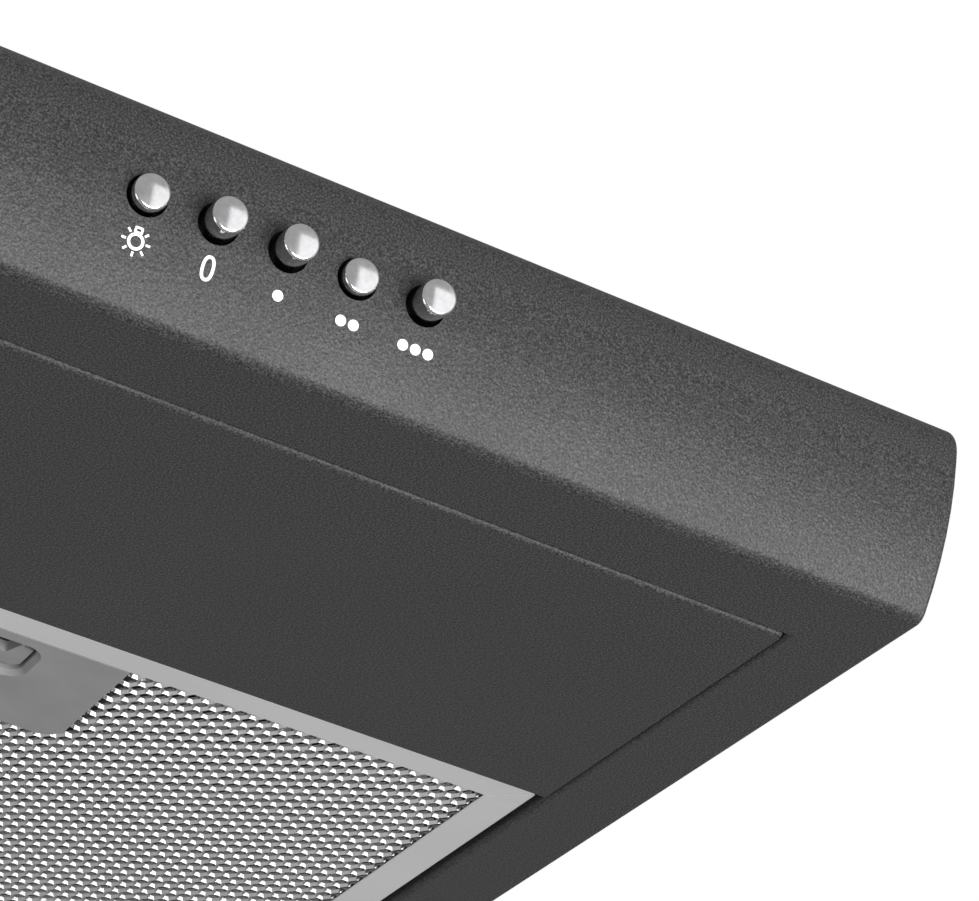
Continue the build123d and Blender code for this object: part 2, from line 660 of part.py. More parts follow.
def build_scroll_housing():
    wall_top = SCROLL_TOP - SCROLL_WALL
    with BuildPart() as scroll_housing:
        with BuildSketch(Plane.XY.offset(z_at(SCROLL_BOTTOM))):
            snail_outline(SCROLL_WALL)
        extrude(amount=SCROLL_TOP - SCROLL_BOTTOM)
        with BuildSketch(Plane.XY.offset(z_at(SCROLL_BOTTOM))):
            snail_outline(9.2)
        extrude(amount=SCROLL_WALL)
        for x, depth in scroll_screw_points():
            block((x - 9, x + 9), (depth - 9, min(depth + 9, 475)), (wall_top, SCROLL_TOP))
        with BuildSketch(Plane.XY.offset(z_at(SCROLL_BOTTOM))):
            snail_outline(0)
        extrude(amount=wall_top - SCROLL_BOTTOM, mode=Mode.SUBTRACT)
        tube_between(level(wall_top - 1, COLLAR_X, COLLAR_DEPTH), COLLAR_RADIUS - 2, 5, Mode.SUBTRACT)
        for x, depth in scroll_screw_points():
            tube_between(level(wall_top - 1, x, depth), CLEAR_RADIUS, 5, Mode.SUBTRACT)
        for x, depth in cover_screw_points():
            tube_between(level(SCROLL_BOTTOM - 1, x, depth), CLEAR_RADIUS, 5, Mode.SUBTRACT)
        for plane in motor_screw_planes():
            tube_between(plane.offset(-9), CLEAR_RADIUS, 9, Mode.SUBTRACT)
        for angle in range(45, 360, 90):
            tube_between(collar_screw_plane(angle).offset(-5), CLEAR_RADIUS, 5, Mode.SUBTRACT)
        lead_hole = Plane(origin=point(-30, 327.4, 123), x_dir=(0, 1, 0), z_dir=(1, 0, 0))
        tube_between(lead_hole, LEAD_RADIUS + 1, 12, Mode.SUBTRACT)
    hand_in("scroll_housing", scroll_housing.part)


def build_scroll_cover():
    """Bottom plate of the scroll with its bell-mouthed inlet."""
    mouth = 8
    wheel_y = y_at(WHEEL_DEPTH)
    with BuildPart() as scroll_cover:
        with BuildSketch(Plane.XY.offset(z_at(SCROLL_BOTTOM - SCROLL_WALL))):
            snail_outline(9.2)
        extrude(amount=SCROLL_WALL)
        tube_between(wheel_level(SCROLL_BOTTOM - 3), INLET_RADIUS + mouth, 6, Mode.SUBTRACT)
        side_plane = Plane(origin=point(WHEEL_X, WHEEL_DEPTH, 0), x_dir=(1, 0, 0), z_dir=(0, -1, 0))
        with BuildSketch(side_plane):
            centre = (INLET_RADIUS + mouth, SCROLL_BOTTOM - SCROLL_WALL + mouth)
            with BuildLine():
                inner = CenterArc(centre, mouth, 180, 90)
                outer = CenterArc(centre, mouth - SCROLL_WALL, 180, 90)
                Line(inner @ 0, outer @ 0)
                Line(inner @ 1, outer @ 1)
            make_face()
        revolve(axis=Axis((WHEEL_X, wheel_y, 0), (0, 0, 1)))
        for x, depth in cover_screw_points():
            tube_between(level(SCROLL_BOTTOM - 3, x, depth), CLEAR_RADIUS, 5, Mode.SUBTRACT)
    hand_in("scroll_cover", scroll_cover.part)


def build_inlet_guard():
    """Finger guard across the blower's inlet: rings joined by four radial bars."""
    bar = 2.4
    with BuildPart() as inlet_guard:
        with BuildSketch(wheel_level(SCROLL_BOTTOM - SCROLL_WALL - bar)):
            for radius in (18, 32, 46, 60, 74):
                Circle(radius + bar / 2)
                Circle(radius - bar / 2, mode=Mode.SUBTRACT)
                with PolarLocations(radius - 7, 4, start_angle=10):
                    Rectangle(14, bar)
            Circle(18 - bar / 2, mode=Mode.SUBTRACT)
        extrude(amount=bar)
    hand_in("inlet_guard", inlet_guard.part)


def build_motor():
    """Outer-rotor style motor can, hung on a round plate with four posts."""
    with BuildPart() as motor_body:
        tube_between(wheel_level(MOTOR_BOTTOM), 26, 6)
        tube_between(wheel_level(MOTOR_BOTTOM + 4), MOTOR_RADIUS, MOTOR_TOP - MOTOR_BOTTOM - 4)
        fillet(motor_body.edges().filter_by(GeomType.CIRCLE).group_by(Axis.Z)[1], 2)
        tube_between(wheel_level(MOTOR_BOTTOM - 1), SHAFT_RADIUS + SHAFT_FIT, 27, Mode.SUBTRACT)
    hand_in("motor_body", motor_body.part)
    with BuildPart() as motor_plate:
        tube_between(wheel_level(MOTOR_TOP), 57, 2)
        for plane in motor_screw_planes():
            tube_between(Plane(plane.origin), 5, SCROLL_TOP - SCROLL_WALL - MOTOR_TOP)
        for plane in motor_screw_planes():
            tube_between(plane.offset(-9), CLEAR_RADIUS, 10, Mode.SUBTRACT)
    hand_in("motor_plate", motor_plate.part)


def blade_profile():
    """One forward-curved blade of the wheel, 1 mm thick, at angle zero."""
    with BuildSketch() as blade:
        with BuildLine():
            inner = ThreePointArc((BLADE_INNER_RADIUS, 0), (69.3, 2.6), (WHEEL_RADIUS - 0.4, 8.0))
            outer = ThreePointArc((BLADE_INNER_RADIUS, 1.0), (68.8, 3.6), (WHEEL_RADIUS - 1.2, 8.8))
            Line(inner @ 0, outer @ 0)
            Line(inner @ 1, outer @ 1)
        make_face()
    return blade.sketch


def build_impeller():
    """Forward-curved wheel whose hub cups the motor."""
    blade = blade_profile()
    with BuildPart() as impeller:
        tube_between(wheel_level(66), HUB_RADIUS, 52)
        tube_between(wheel_level(67.5), HUB_RADIUS - 1.2, 60, Mode.SUBTRACT)
        tube_between(wheel_level(62), 9, 10)
        with BuildSketch(wheel_level(116.8)):
            Circle(WHEEL_RADIUS)
            Circle(HUB_RADIUS - 1.2, mode=Mode.SUBTRACT)
        extrude(amount=1.2)
        with BuildSketch(wheel_level(58.5)):
            Circle(WHEEL_RADIUS)
            Circle(BLADE_INNER_RADIUS + 4, mode=Mode.SUBTRACT)
        extrude(amount=1.5)
        with BuildSketch(wheel_level(60)):
            with PolarLocations(0, BLADE_COUNT):
                add(blade)
        extrude(amount=116.8 - 60)
        tube_between(wheel_level(60), SHAFT_RADIUS, 20, Mode.SUBTRACT)
    hand_in("impeller", impeller.part)
    with BuildPart() as motor_shaft:
        tube_between(wheel_level(56), SHAFT_RADIUS, 42)
        chamfer(motor_shaft.faces().sort_by(Axis.Z)[0].edges(), 0.5)
    hand_in("motor_shaft", motor_shaft.part)
    with BuildPart() as impeller_nut:
        with BuildSketch(wheel_level(57.5)):
            RegularPolygon(7, 6)
            Circle(SHAFT_RADIUS, mode=Mode.SUBTRACT)
        extrude(amount=4.5)
    hand_in("impeller_nut", impeller_nut.part)


# ---------------------------------------------------------------- duct collar and damper

def build_duct_collar():
    rise = HEIGHT
    with BuildPart() as duct_collar:
        tube_between(level(rise, COLLAR_X, COLLAR_DEPTH), COLLAR_RADIUS, COLLAR_HEIGHT)
        tube_between(level(rise, COLLAR_X, COLLAR_DEPTH), COLLAR_FLANGE_RADIUS, SHEET)
        tube_between(level(rise - 1, COLLAR_X, COLLAR_DEPTH), COLLAR_RADIUS - SHEET, 60, Mode.SUBTRACT)
        # inward bead that the flaps close on to
        with BuildSketch(level(rise + SPINDLE_RISE - 3, COLLAR_X, COLLAR_DEPTH)):
            Circle(COLLAR_RADIUS - SHEET)
            Circle(COLLAR_RADIUS - 3.5, mode=Mode.SUBTRACT)
        extrude(amount=SHEET)
        with Locations(spindle_plane(0)):
            Cylinder(SPINDLE_RADIUS, 3 * COLLAR_RADIUS, mode=Mode.SUBTRACT)
        for angle in range(45, 360, 90):
            tube_between(collar_screw_plane(angle).offset(-4), CLEAR_RADIUS, 8, Mode.SUBTRACT)
    hand_in("duct_collar", duct_collar.part)


def spindle_plane(shift):
    """Plane across the damper's spindle, its normal along +X."""
    origin = point(COLLAR_X + shift, COLLAR_DEPTH, HEIGHT + SPINDLE_RISE)
    return Plane(origin=origin, x_dir=(0, 1, 0), z_dir=(1, 0, 0))


def build_damper():
    """Spindle across the collar and the two half-round flaps that swing on it."""
    with BuildPart() as damper_spindle:
        with Locations(spindle_plane(0)):
            Cylinder(SPINDLE_RADIUS, 2 * COLLAR_RADIUS - 0.3)
    hand_in("damper_spindle", damper_spindle.part)
    knuckle_shifts = {"front": (-34, 34), "rear": (-18, 18)}
    for name, side in (("front", -1), ("rear", 1)):
        with BuildPart() as flap:
            with BuildSketch(level(HEIGHT + SPINDLE_RISE - 0.4, COLLAR_X, COLLAR_DEPTH)):
                Circle(COLLAR_RADIUS - SHEET - 1.5)
                with Locations((0, side * (4 - COLLAR_RADIUS))):
                    Rectangle(2 * COLLAR_RADIUS, 2 * COLLAR_RADIUS, mode=Mode.SUBTRACT)
                for shift in knuckle_shifts[name]:
                    with Locations((shift, side * 3.5)):
                        Rectangle(12, 4)
            extrude(amount=0.8)
            for shift in knuckle_shifts[name]:
                with Locations(spindle_plane(shift)):
                    Cylinder(2.7, 12)
                    Cylinder(SPINDLE_RADIUS + SHAFT_FIT, 14, mode=Mode.SUBTRACT)
        hand_in(f"damper_flap_{name}", flap.part)


# ---------------------------------------------------------------- electrical parts

def inlet_plane(depth):
    """Plane across the supply inlet, its normal to the rear."""
    return Plane(origin=point(INLET_X, depth, INLET_HEIGHT), x_dir=(-1, 0, 0), z_dir=(0, 1, 0))


def build_junction_box():
    with BuildPart() as junction_box:
        block(BOX_X, BOX_DEPTH, (BOX_BOTTOM, CEILING))
        inner_x = (BOX_X[0] + 1, BOX_X[1] - 1)
        inner_depth = (BOX_DEPTH[0] + 1, BOX_DEPTH[1] - 1)
        block(inner_x, inner_depth, (BOX_BOTTOM - 1, CEILING - 1), Mode.SUBTRACT)
        for x, depth in COVER_SCREWS:
            tube_between(level(BOX_BOTTOM, x, depth), 6, 10)
            tube_between(level(BOX_BOTTOM - 1, x, depth), CLEAR_RADIUS, 10, Mode.SUBTRACT)
        tube_between(inlet_plane(BOX_DEPTH[1] - 3), GROMMET_NECK, 6, Mode.SUBTRACT)
        for depth, height in LEAD_HOLES:
            hole = Plane(origin=point(BOX_X[0] - 3, depth, height), x_dir=(0, 1, 0), z_dir=(1, 0, 0))
            tube_between(hole, LEAD_RADIUS + 0.1, 6, Mode.SUBTRACT)
    hand_in("junction_box", junction_box.part)
    with BuildPart() as junction_box_cover:
        cover_x = (BOX_X[0] - SHEET, BOX_X[1] + SHEET)
        cover_depth = (BOX_DEPTH[0] - SHEET, BOX_DEPTH[1] + SHEET)
        block(cover_x, cover_depth, (BOX_BOTTOM - SHEET, BOX_BOTTOM))
        for x, depth in COVER_SCREWS:
            tube_between(level(BOX_BOTTOM - 4, x, depth), CLEAR_RADIUS, 8, Mode.SUBTRACT)
    hand_in("junction_box_cover", junction_box_cover.part)
    with BuildPart() as terminal_block:
        block((272, 332), (418, 434), (112, CEILING - 1))
        with Locations(level(112, 302, 426)):
            with GridLocations(12, 8, 5, 2):
                Cylinder(2.2, 12, mode=Mode.SUBTRACT)
    hand_in("terminal_block", terminal_block.part)
    with BuildPart() as supply_grommet:
        tube_between(inlet_plane(BOX_DEPTH[1] - 3.5), 14, 2.5)
        tube_between(inlet_plane(BOX_DEPTH[1] - 3.5), GROMMET_NECK - 0.1, 13.3)
        tube_between(inlet_plane(DEPTH - 2), 14, 1.8)
        tube_between(inlet_plane(BOX_DEPTH[1] - 6), GROMMET_BORE, 20, Mode.SUBTRACT)
    hand_in("supply_grommet", supply_grommet.part)
    with BuildPart() as run_capacitor:
        tube_between(level(84, 230, 300), 15, CEILING - 84)
        fillet(run_capacitor.faces().sort_by(Axis.Z)[0].edges(), 2)
    hand_in("run_capacitor", run_capacitor.part)


def bend_radii(route):
    """Bend radius at each inner point: 0.45 of the shorter run over the tangent of half the turn."""
    points = [Vector(*place) for place in route]
    radii = []
    for before, here, after in zip(points, points[1:], points[2:]):
        turn = math.radians((here - before).get_angle(after - here))
        shorter = min((here - before).length, (after - here).length)
        radii.append(0.45 * shorter / math.tan(turn / 2))
    return radii


def build_leads():
    """Insulated leads from the junction box to the motor, the lamp and the switches."""
    for name, route in LEAD_ROUTES.items():
        points = [point(*place) for place in route]
        radii = bend_radii(points)
        print(name, "bend radii", [round(radius) for radius in radii])
        with BuildPart() as lead:
            with BuildLine() as path:
                FilletPolyline(*points, radius=radii)
            with BuildSketch(Plane(origin=path.line @ 0, z_dir=path.line % 0)):
                Circle(LEAD_RADIUS)
            sweep(path=path.line)
        length = path.wire().length
        section = math.pi * LEAD_RADIUS ** 2
        print(name, "length", round(length), "volume ratio", round(lead.part.volume / section / length, 4))
        hand_in(name, lead.part)


# ---------------------------------------------------------------- fasteners

def screw(plane, length, shank=SHANK_RADIUS, scale=1.0):
    """Pan-head screw whose head stands on a plane, with a cross recess."""
    with Locations(plane):
        Cylinder(HEAD_RADIUS * scale, HEAD_HEIGHT * scale, align=(Align.CENTER, Align.CENTER, Align.MIN))
    with Locations(plane.offset(HEAD_HEIGHT * scale)):
        Box(3.6 * scale, 0.9 * scale, 2 * scale, mode=Mode.SUBTRACT)
        Box(0.9 * scale, 3.6 * scale, 2 * scale, mode=Mode.SUBTRACT)
    with Locations(plane):
        Cylinder(shank, length, align=(Align.CENTER, Align.CENTER, Align.MAX))


def build_screws():
    seats = [(plane, 4) for plane in back_screw_planes()]
    seats += [(plane, 5) for plane in panel_screw_planes()]
    seats += [(collar_screw_plane(angle), 5) for angle in range(45, 360, 90)]
    seats += [(facing_down(x, depth, SCROLL_TOP - SCROLL_WALL), 2.1) for x, depth in scroll_screw_points()]
    seats += [(facing_down(x, depth, SCROLL_BOTTOM - SCROLL_WALL), 6) for x, depth in cover_screw_points()]
    seats += [(facing_down(x, depth, BOX_BOTTOM - 1), 8) for x, depth in COVER_SCREWS]
    with BuildPart() as sheet_metal_screws:
        for plane, length in seats:
            screw(plane, length)
    hand_in("sheet_metal_screws", sheet_metal_screws.part)
    with BuildPart() as motor_screws:
        for plane in motor_screw_planes():
            screw(plane, 6.5)
    hand_in("motor_screws", motor_screws.part)
    with BuildPart() as switch_screws:
        for x in SWITCH_SCREW_SHIFTS:
            seat = nose_plane(BUTTON_ROW_X + x, BUTTON_HEIGHT, HOUSING_REAR + SHEET)
            rearward = Plane(origin=seat.origin, x_dir=seat.x_dir, z_dir=-seat.z_dir)
            screw(rearward, 5, SMALL_SHANK_RADIUS - 0.05, 0.7)
    hand_in("switch_screws", switch_screws.part)


os.makedirs("parts", exist_ok=True)
build_canopy_shell()
build_back_panel()
build_lamp_panel()
build_lamp_lens()
build_led_board()
build_led_driver()
build_switch_housing()
build_switch_bracket()
for index, name in enumerate(BUTTON_NAMES):
    build_button(index, name)
for side, name in ((-1, "left"), (1, "right")):
    build_filter_frame(side, name)
    build_filter_meshes(side, name)
    build_latch(side, name)
build_scroll_housing()
build_scroll_cover()
build_inlet_guard()
build_motor()
build_impeller()
build_duct_collar()
build_damper()
build_junction_box()
build_leads()
build_screws()
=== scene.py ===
"""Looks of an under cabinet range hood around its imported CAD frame.

The frame is in metres: +X right, +Y to the wall, +Z up.
"""
import json
import math

import bpy
from mathutils import Matrix, Vector


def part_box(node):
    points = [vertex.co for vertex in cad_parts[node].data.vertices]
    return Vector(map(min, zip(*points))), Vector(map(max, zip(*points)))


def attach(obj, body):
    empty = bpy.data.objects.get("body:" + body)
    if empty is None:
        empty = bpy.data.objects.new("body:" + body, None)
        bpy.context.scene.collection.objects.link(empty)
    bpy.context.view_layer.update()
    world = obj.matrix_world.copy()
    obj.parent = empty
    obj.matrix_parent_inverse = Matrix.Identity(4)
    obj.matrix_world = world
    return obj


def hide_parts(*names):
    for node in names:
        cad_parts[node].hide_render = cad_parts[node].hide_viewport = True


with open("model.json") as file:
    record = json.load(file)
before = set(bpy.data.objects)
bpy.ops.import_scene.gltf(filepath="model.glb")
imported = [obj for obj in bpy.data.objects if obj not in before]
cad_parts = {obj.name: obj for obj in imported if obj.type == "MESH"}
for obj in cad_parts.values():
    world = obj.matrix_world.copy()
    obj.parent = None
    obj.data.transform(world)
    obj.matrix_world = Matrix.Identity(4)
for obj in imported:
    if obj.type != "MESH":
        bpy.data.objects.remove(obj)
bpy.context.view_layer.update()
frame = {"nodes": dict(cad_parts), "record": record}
nodes = frame["nodes"]
MM = 0.001

# Places worked out from the frame
shell_low, shell_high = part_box("canopy_shell")
FRONT_Y = shell_low.y
BASE_Z = shell_low.z
RIGHT_X = shell_high.x

# The curved nose of the canopy and the push buttons in it, in millimetres
NOSE_RADIUS = 90
NOSE_CENTRE_HEIGHT = 46
BUTTON_DROP = 16.5


# ---------------------------------------------------------------- camera, lights, surroundings

CAMERA_PLACE = Vector((RIGHT_X - 0.48691, FRONT_Y - 0.74215, BASE_Z - 0.49577))
CAMERA_AZIMUTH = math.radians(24.866)
CAMERA_ELEVATION = math.radians(30.893)
CAMERA_ROLL = math.radians(7.64)
CAMERA_LENS_MM = 136.3
SENSOR_WIDTH_MM = 36
CLIP_START, CLIP_END = 0.02, 60

# Name, place, target, size and power of each softbox
LIGHTS = [
    ("key", (0.9, -2.3, -1.15), (0.1, -0.3, -0.1), (1.5, 1.0), 97),
    ("card", (1.71, -2.88, 0.14), (0.15, -0.33, -0.10), (1.8, 1.8), 9),
    ("fill", (-1.8, -0.7, -1.3), (0.1, -0.1, -0.13), (1.0, 1.0), 10),
]
SEEN_STRENGTH = 1.0
LIT_STRENGTH = 0.48

# The hood is looked at from below as well, so the floor lies far under it
FLOOR_Z = -4.0
FLOOR_HALF = 12.0


def camera_axes():
    """Right, up and forward of a camera turned towards +X, tilted up and rolled."""
    a, e, roll = CAMERA_AZIMUTH, CAMERA_ELEVATION, CAMERA_ROLL
    forward = Vector((math.sin(a) * math.cos(e), math.cos(a) * math.cos(e), math.sin(e)))
    level_right = Vector((math.cos(a), -math.sin(a), 0))
    level_up = level_right.cross(forward)
    right = math.cos(roll) * level_right + math.sin(roll) * level_up
    return right, right.cross(forward), forward


def add_camera():
    data = bpy.data.cameras.new("camera")
    data.lens = CAMERA_LENS_MM
    data.sensor_width = SENSOR_WIDTH_MM
    data.clip_start = CLIP_START
    data.clip_end = CLIP_END
    camera = bpy.data.objects.new("camera", data)
    right, up, forward = camera_axes()
    turn = Matrix((right, up, -forward)).transposed().to_4x4()
    camera.matrix_world = Matrix.Translation(CAMERA_PLACE) @ turn
    bpy.context.scene.collection.objects.link(camera)
    bpy.context.scene.camera = camera


def add_area_light(name, place, target, size, power):
    data = bpy.data.lights.new(name, "AREA")
    data.shape = "RECTANGLE"
    data.size, data.size_y = size
    data.energy = power
    light = bpy.data.objects.new(name, data)
    light.location = place
    towards = Vector(target) - Vector(place)
    light.rotation_euler = towards.to_track_quat("-Z", "Y").to_euler()
    bpy.context.scene.collection.objects.link(light)


def add_background(tree, strength):
    node = tree.nodes.new("ShaderNodeBackground")
    node.inputs["Color"].default_value = (1, 1, 1, 1)
    node.inputs["Strength"].default_value = strength
    return node.outputs["Background"]


def add_world():
    """White surroundings that light softly and show as plain white."""
    world = bpy.data.worlds.new("studio")
    world.use_nodes = True
    tree = world.node_tree
    tree.nodes.clear()
    output = tree.nodes.new("ShaderNodeOutputWorld")
    mix = tree.nodes.new("ShaderNodeMixShader")
    path = tree.nodes.new("ShaderNodeLightPath")
    tree.links.new(path.outputs["Is Camera Ray"], mix.inputs["Fac"])
    tree.links.new(add_background(tree, LIT_STRENGTH), mix.inputs[1])
    tree.links.new(add_background(tree, SEEN_STRENGTH), mix.inputs[2])
    tree.links.new(mix.outputs["Shader"], output.inputs["Surface"])
    bpy.context.scene.world = world


# ---------------------------------------------------------------- materials

def new_material(name):
    material = bpy.data.materials.new(name)
    material.use_nodes = True
    return material, material.node_tree, material.node_tree.nodes["Principled BSDF"]


def object_coordinates(tree, scale=(1, 1, 1)):
    coordinates = tree.nodes.new("ShaderNodeTexCoord")
    mapping = tree.nodes.new("ShaderNodeMapping")
    mapping.inputs["Scale"].default_value = scale
    tree.links.new(coordinates.outputs["Object"], mapping.inputs["Vector"])
    return mapping.outputs["Vector"]


def noise(tree, vector, scale, detail=2.0, roughness=0.5):
    texture = tree.nodes.new("ShaderNodeTexNoise")
    texture.inputs["Scale"].default_value = scale
    texture.inputs["Detail"].default_value = detail
    texture.inputs["Roughness"].default_value = roughness
    tree.links.new(vector, texture.inputs["Vector"])
    return texture.outputs["Fac"]


def vary(tree, shader, socket, fac, stops):
    """Drives a socket of the shader by a ramp through (position, grey or colour) stops."""
    node = tree.nodes.new("ShaderNodeValToRGB")
    elements = node.color_ramp.elements
    while len(elements) < len(stops):
        elements.new(0.5)
    for element, (position, colour) in zip(elements, stops):
        element.position = position
        rgb = colour if isinstance(colour, tuple) else (colour, colour, colour)
        element.color = (*rgb, 1)
    tree.links.new(fac, node.inputs["Fac"])
    tree.links.new(node.outputs["Color"], shader.inputs[socket])


def add_bump(tree, shader, height, strength, distance):
    bump = tree.nodes.new("ShaderNodeBump")
    bump.inputs["Strength"].default_value = strength
    bump.inputs["Distance"].default_value = distance
    tree.links.new(height, bump.inputs["Height"])
    tree.links.new(bump.outputs["Normal"], shader.inputs["Normal"])


def darker_lighter(colour, share):
    """The colour taken down and up by a share of itself."""
    return tuple(c * (1 - share) for c in colour), tuple(min(1, c * (1 + share)) for c in colour)


def powder_coat():
    """Matte charcoal powder coat: fine light and dark grain, uneven gloss, orange-peel bump."""
    material, tree, shader = new_material("powder_coat")
    vector = object_coordinates(tree)
    dark, middle, light = (0.008, 0.008, 0.0085), (0.026, 0.026, 0.0265), (0.064, 0.064, 0.064)
    stops = [(0.32, dark), (0.50, middle), (0.68, light)]
    vary(tree, shader, "Base Color", noise(tree, vector, 1800, 1.5, 0.7), stops)
    vary(tree, shader, "Roughness", noise(tree, vector, 14), [(0.3, 0.46), (0.7, 0.54)])
    shader.inputs["Specular IOR Level"].default_value = 0.27
    add_bump(tree, shader, noise(tree, vector, 1100), 0.6, 0.0003)
    return material


def metal(name, colour, roughness, grain, stretch=(1, 1, 1), contrast=0.05, bump=0.05):
    """Satin metal with a fine grain and small changes of roughness."""
    material, tree, shader = new_material(name)
    shader.inputs["Metallic"].default_value = 1.0
    rolled = noise(tree, object_coordinates(tree, stretch), grain, 3, 0.6)
    low, high = darker_lighter(colour, contrast)
    vary(tree, shader, "Base Color", rolled, [(0.35, low), (0.65, high)])
    smear = noise(tree, object_coordinates(tree), 9)
    smoother, rougher = roughness * 0.9, min(1, roughness * 1.12)
    vary(tree, shader, "Roughness", smear, [(0.3, smoother), (0.7, rougher)])
    add_bump(tree, shader, rolled, bump, 0.0001)
    return material


def galvanised_steel():
    """Zinc-coated sheet with its spangle of large crystals."""
    material, tree, shader = new_material("galvanised")
    shader.inputs["Metallic"].default_value = 1.0
    cells = tree.nodes.new("ShaderNodeTexVoronoi")
    cells.inputs["Scale"].default_value = 90
    tree.links.new(object_coordinates(tree), cells.inputs["Vector"])
    separate = tree.nodes.new("ShaderNodeSeparateColor")
    tree.links.new(cells.outputs["Color"], separate.inputs["Color"])
    tones = [(0.0, (0.50, 0.51, 0.53)), (1.0, (0.66, 0.67, 0.69))]
    vary(tree, shader, "Base Color", separate.outputs["Red"], tones)
    vary(tree, shader, "Roughness", separate.outputs["Green"], [(0.0, 0.32), (1.0, 0.5)])
    return material


def plastic(name, colour, roughness, grain=900, bump=0.15):
    """Moulded plastic with a fine spark-eroded grain."""
    material, tree, shader = new_material(name)
    vector = object_coordinates(tree)
    low, high = darker_lighter(colour, 0.08)
    vary(tree, shader, "Base Color", noise(tree, vector, 60, 3), [(0.3, low), (0.7, high)])
    gloss = [(0.3, roughness * 0.9), (0.7, roughness * 1.1)]
    vary(tree, shader, "Roughness", noise(tree, vector, 200), gloss)
    add_bump(tree, shader, noise(tree, vector, grain), bump, 0.0002)
    return material


def chrome():
    """Polished chrome with faint wipe marks in its roughness."""
    material, tree, shader = new_material("chrome_cap")
    shader.inputs["Metallic"].default_value = 1.0
    vector = object_coordinates(tree)
    tones = [(0.3, (0.60, 0.60, 0.61)), (0.7, (0.68, 0.68, 0.69))]
    vary(tree, shader, "Base Color", noise(tree, vector, 500), tones)
    vary(tree, shader, "Roughness", noise(tree, vector, 700, 3), [(0.3, 0.11), (0.7, 0.17)])
    return material


def frosted_lens():
    """Frosted polycarbonate diffuser."""
    material, tree, shader = new_material("frosted_lens")
    vector = object_coordinates(tree)
    tones = [(0.3, (0.82, 0.84, 0.84)), (0.7, (0.90, 0.91, 0.91))]
    vary(tree, shader, "Base Color", noise(tree, vector, 400), tones)
    vary(tree, shader, "Roughness", noise(tree, vector, 800), [(0.3, 0.4), (0.7, 0.55)])
    shader.inputs["Transmission Weight"].default_value = 0.35
    shader.inputs["Subsurface Weight"].default_value = 0.2
    add_bump(tree, shader, noise(tree, vector, 1200), 0.2, 0.0002)
    return material


# Colour, roughness and, where it isn't the usual, grain and bump
PLASTICS = {
    "board": ((0.72, 0.73, 0.70), 0.45, 500),
    "black_plastic": ((0.022, 0.022, 0.024), 0.45),
    "motor_can": ((0.03, 0.03, 0.033), 0.35),
    "wheel_plastic": ((0.10, 0.10, 0.105), 0.5),
    "white_plastic": ((0.80, 0.80, 0.78), 0.4),
    "grommet_rubber": ((0.02, 0.02, 0.02), 0.75, 700, 0.3),
    "lead_sheath": ((0.09, 0.09, 0.095), 0.5, 800),
    "latch_grey": ((0.19, 0.19, 0.19), 0.5, 1400, 0.06),
}

# Colour, roughness, grain and, where it isn't the usual, stretch of the grain, contrast and bump
METALS = {
    "zinc_wire": ((0.60, 0.61, 0.62), 0.35, 600),
    "steel_screw": ((0.56, 0.56, 0.57), 0.3, 900),
    "can_aluminium": ((0.72, 0.72, 0.73), 0.35, 500, (1, 1, 0.05)),
    "spring_steel": ((0.5, 0.5, 0.52), 0.25, 900),
    "filter_aluminium": ((0.98, 0.98, 0.98), 0.42, 1400, (0.06, 1, 1), 0.012, 0.02),
    "mesh_aluminium": ((0.47, 0.47, 0.47), 0.42, 900, (1, 1, 1), 0.06),
}


def make_materials():
    """One material for each material slot of the frame."""
    made = {
        "powder_coat": powder_coat(),
        "frosted_lens": frosted_lens(),
        "galvanised": galvanised_steel(),
        "chrome_cap": chrome(),
    }
    made.update({name: plastic(name, *look) for name, look in PLASTICS.items()})
    made.update({name: metal(name, *look) for name, look in METALS.items()})
    return made


def dress_cad_nodes():
    """Gives every CAD node the finish of its material slot."""
    for entry in frame["record"]["subparts"]:
        mesh = nodes[entry["node"]].data
        mesh.materials.clear()
        mesh.materials.append(materials[entry["material_slot"]])


# ---------------------------------------------------------------- expanded mesh of the filters

MESH_LONG_PITCH = 7.88 * MM
MESH_ROW_PITCH = 3.15 * MM
MESH_MARGIN = 2 * MM
MESH_END_MARGIN = 1 * MM
STRAND_WIDTH = 1.25 * MM
STRAND_THICKNESS = 0.4 * MM
STRAND_TWIST = math.radians(-52)
BOND_SHARE = 0.24
LOWER_SHEET_RISE = 0.75 * MM
LAYER_RISE = 1.9 * MM
UPPER_SHEET_DROP = 0.52 * MM
UPPER_SHEET_SCALE = 1.5
LATCH_CLEARANCE = 0.5 * MM


def new_piece(name, verts, faces, slot, body, smooth=False):
    """Makes one piece of the visual model, in its slot's finish and riding on its body."""
    mesh = bpy.data.meshes.new(name)
    mesh.from_pydata(verts, [], faces)
    mesh.update()
    if smooth:
        mesh.polygons.foreach_set("use_smooth", [True] * len(mesh.polygons))
    mesh.materials.append(materials[slot])
    piece = bpy.data.objects.new(name, mesh)
    bpy.context.scene.collection.objects.link(piece)
    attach(piece, body)
    return piece


def strand_section(centre, along):
    """Four corners of a strand's section: its width turned by the twist out of the sheet."""
    across = Vector((-along.y, along.x, 0)).normalized()
    lean = across * math.cos(STRAND_TWIST) + Vector((0, 0, 1)) * math.sin(STRAND_TWIST)
    wide = lean * STRAND_WIDTH / 2
    thin = along.cross(wide).normalized() * STRAND_THICKNESS / 2
    return [centre + wide + thin, centre - wide + thin, centre - wide - thin, centre + wide - thin]


